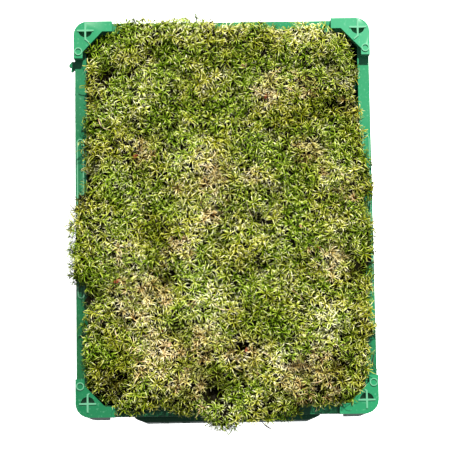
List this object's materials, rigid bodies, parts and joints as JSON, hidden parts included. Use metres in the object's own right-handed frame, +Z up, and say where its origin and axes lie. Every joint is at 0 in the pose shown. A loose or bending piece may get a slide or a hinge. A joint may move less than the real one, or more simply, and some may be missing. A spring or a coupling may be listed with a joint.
{
  "type": "moss clump in a crate",
  "caption": "Shallow moulded plastic crate with slotted walls and raised stacking corners, heaped with lifted handfuls of springy, star-tipped turf moss.",
  "frame": {"origin": "middle of the crate's underside, on the cross of two ribs that it stands on", "axes": "+Z up, +X along the crate's short side, +Y along its long side; the picture looks down with +Y at its top"},
  "size_m": [0.3065, 0.4165, 0.137],
  "materials": {
    "crate_plastic": "satin",
    "moss": "matte",
    "litter": "matte"
  },
  "bodies": {
    "root": {"crate": "crate_plastic", "moss_turf_01": "moss", "moss_turf_02": "moss", "moss_turf_03": "moss", "moss_turf_04": "moss", "moss_turf_05": "moss", "moss_turf_06": "moss", "moss_turf_07": "moss", "moss_turf_08": "moss", "moss_turf_09": "moss", "moss_turf_10": "moss", "moss_turf_11": "moss", "moss_turf_12": "moss", "moss_turf_13": "moss", "moss_turf_14": "moss", "moss_turf_15": "moss", "moss_turf_16": "moss", "moss_turf_17": "moss", "moss_turf_18": "moss", "moss_turf_19": "moss", "moss_turf_20": "moss", "moss_turf_21": "moss", "moss_turf_22": "moss", "moss_turf_23": "moss", "moss_turf_24": "moss", "moss_turf_25": "moss", "moss_turf_26": "moss", "moss_turf_27": "moss", "moss_turf_28": "moss"}
  },
  "joints": []
}
